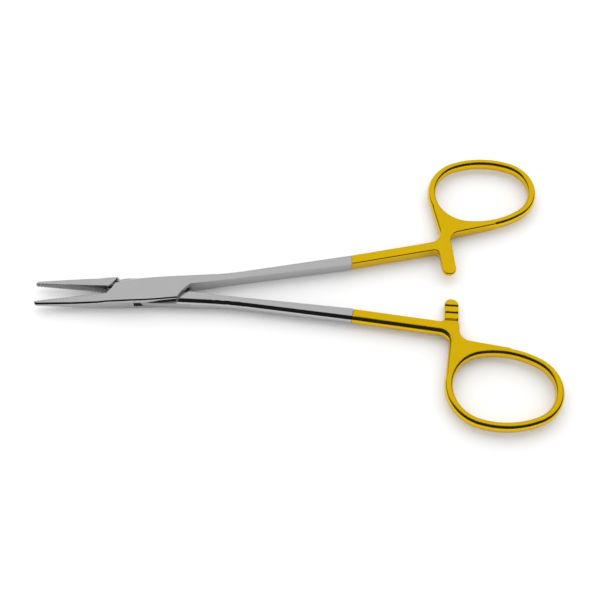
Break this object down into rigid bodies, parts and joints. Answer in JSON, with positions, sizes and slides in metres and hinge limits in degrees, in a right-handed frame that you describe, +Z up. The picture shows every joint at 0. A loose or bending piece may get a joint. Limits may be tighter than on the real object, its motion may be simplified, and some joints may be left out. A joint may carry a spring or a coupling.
{
  "type": "surgical needle holder",
  "caption": "Box-lock needle holder with hard jaw inserts, ratchet bars and gold-plated finger-ring handles, lying slightly open.",
  "frame": {"origin": "on the pivot axis, in the plane of the box lock's underside, which the instrument rests on", "axes": "+X from the jaws towards the finger rings, +Y towards the female half's ring, +Z up out of the surface it lies on"},
  "size_m": [0.1505, 0.0918, 0.005],
  "materials": {
    "half_steel": "satin steel, handles gold-plated",
    "insert_hard_metal": "dark satin",
    "pin_steel": "satin"
  },
  "bodies": {
    "female_arm": {"female_half": "half_steel", "lower_jaw_insert": "insert_hard_metal", "pivot_pin": "pin_steel"},
    "male_arm": {"male_half": "half_steel", "upper_jaw_insert": "insert_hard_metal"}
  },
  "joints": [
    {"name": "box_lock_hinge", "type": "hinge", "parent": "female_arm", "child": "male_arm", "pos_m": [0, 0, 0.0025], "axis": [0, 0, -1], "range_deg": [-9.5, 28]}
  ]
}
